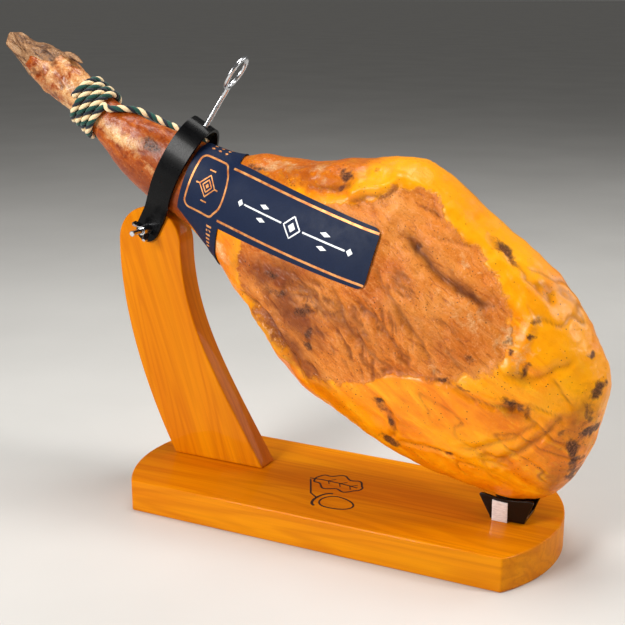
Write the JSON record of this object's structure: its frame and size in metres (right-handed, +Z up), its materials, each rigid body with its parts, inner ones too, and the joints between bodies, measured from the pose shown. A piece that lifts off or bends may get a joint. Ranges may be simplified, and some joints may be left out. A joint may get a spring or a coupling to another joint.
{
  "type": "cured ham on a wooden stand",
  "caption": "Whole cured ham with hoof, held at a slant by a collar with a clamp screw and a padded cradle on a varnished wooden board.",
  "frame": {"origin": "centre of the base board's underside", "axes": "+X along the board towards the thick end of the ham, +Y away from the front, +Z up"},
  "size_m": [0.6773, 0.174, 0.4815],
  "materials": {
    "varnished_wood": "glossy amber varnish over fine straight grain",
    "black_steel": "black gloss coating",
    "bright_steel": "bright plated",
    "band_steel": "polished sheet",
    "black_pad": "glossy black pad",
    "cured_meat": "dry, waxy amber fat and rind over brown-orange lean",
    "rope_fibre": "twisted cream, green and navy strands",
    "navy_card": "satin card with copper lines"
  },
  "bodies": {
    "stand": {"base_board": "varnished_wood", "upright": "varnished_wood", "collar": "black_steel", "pivot_bolt": "bright_steel", "wing_nut": "bright_steel", "cradle": "black_pad", "cradle_band": "band_steel", "ham": "cured_meat", "rope": "rope_fibre", "label": "navy_card"},
    "clamp": {"clamp_screw": "bright_steel"}
  },
  "joints": [
    {"name": "clamp_travel", "type": "slide", "parent": "stand", "child": "clamp", "axis": [0.5592, 0, 0.829], "range_m": [0, 0.012]}
  ]
}
